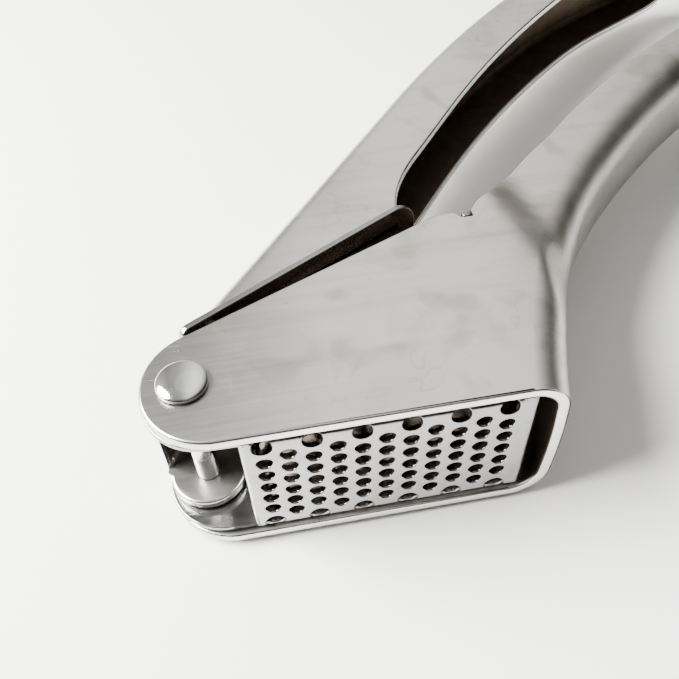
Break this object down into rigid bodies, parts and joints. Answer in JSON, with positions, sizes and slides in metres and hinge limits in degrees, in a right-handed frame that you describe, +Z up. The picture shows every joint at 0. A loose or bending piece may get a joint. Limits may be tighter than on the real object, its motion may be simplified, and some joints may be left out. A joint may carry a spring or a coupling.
{
  "type": "garlic press",
  "caption": "Bent-sheet garlic press with a swinging perforated hopper, a hinged plunger handle and one rivet, lying slightly open.",
  "frame": {"origin": "on the rivet's axis, on the small flat of its lower head, on which the press lies", "axes": "+X along the hopper away from the rivet, +Y towards the handles' side, +Z up along the rivet"},
  "size_m": [0.1495, 0.1277, 0.0267],
  "materials": {
    "satin_steel": "satin, brushed along the sheet",
    "bright_steel": "bright, finely brushed",
    "mirror_steel": "polished"
  },
  "bodies": {
    "frame": {"frame_with_lower_handle": "satin_steel", "pivot_pin": "mirror_steel", "pivot_stud": "mirror_steel"},
    "hopper": {"hopper": "bright_steel"},
    "handle": {"upper_handle": "satin_steel", "plunger_plate": "bright_steel", "plunger_box": "bright_steel"}
  },
  "joints": [
    {"name": "hopper_swing", "type": "hinge", "parent": "frame", "child": "hopper", "pos_m": [0, 0, 0.0132], "axis": [0, 0, 1], "range_deg": [0, 80]},
    {"name": "handle_open", "type": "hinge", "parent": "hopper", "child": "handle", "pos_m": [0, 0, 0.0132], "axis": [0, 0, 1], "range_deg": [-5, 85]}
  ]
}
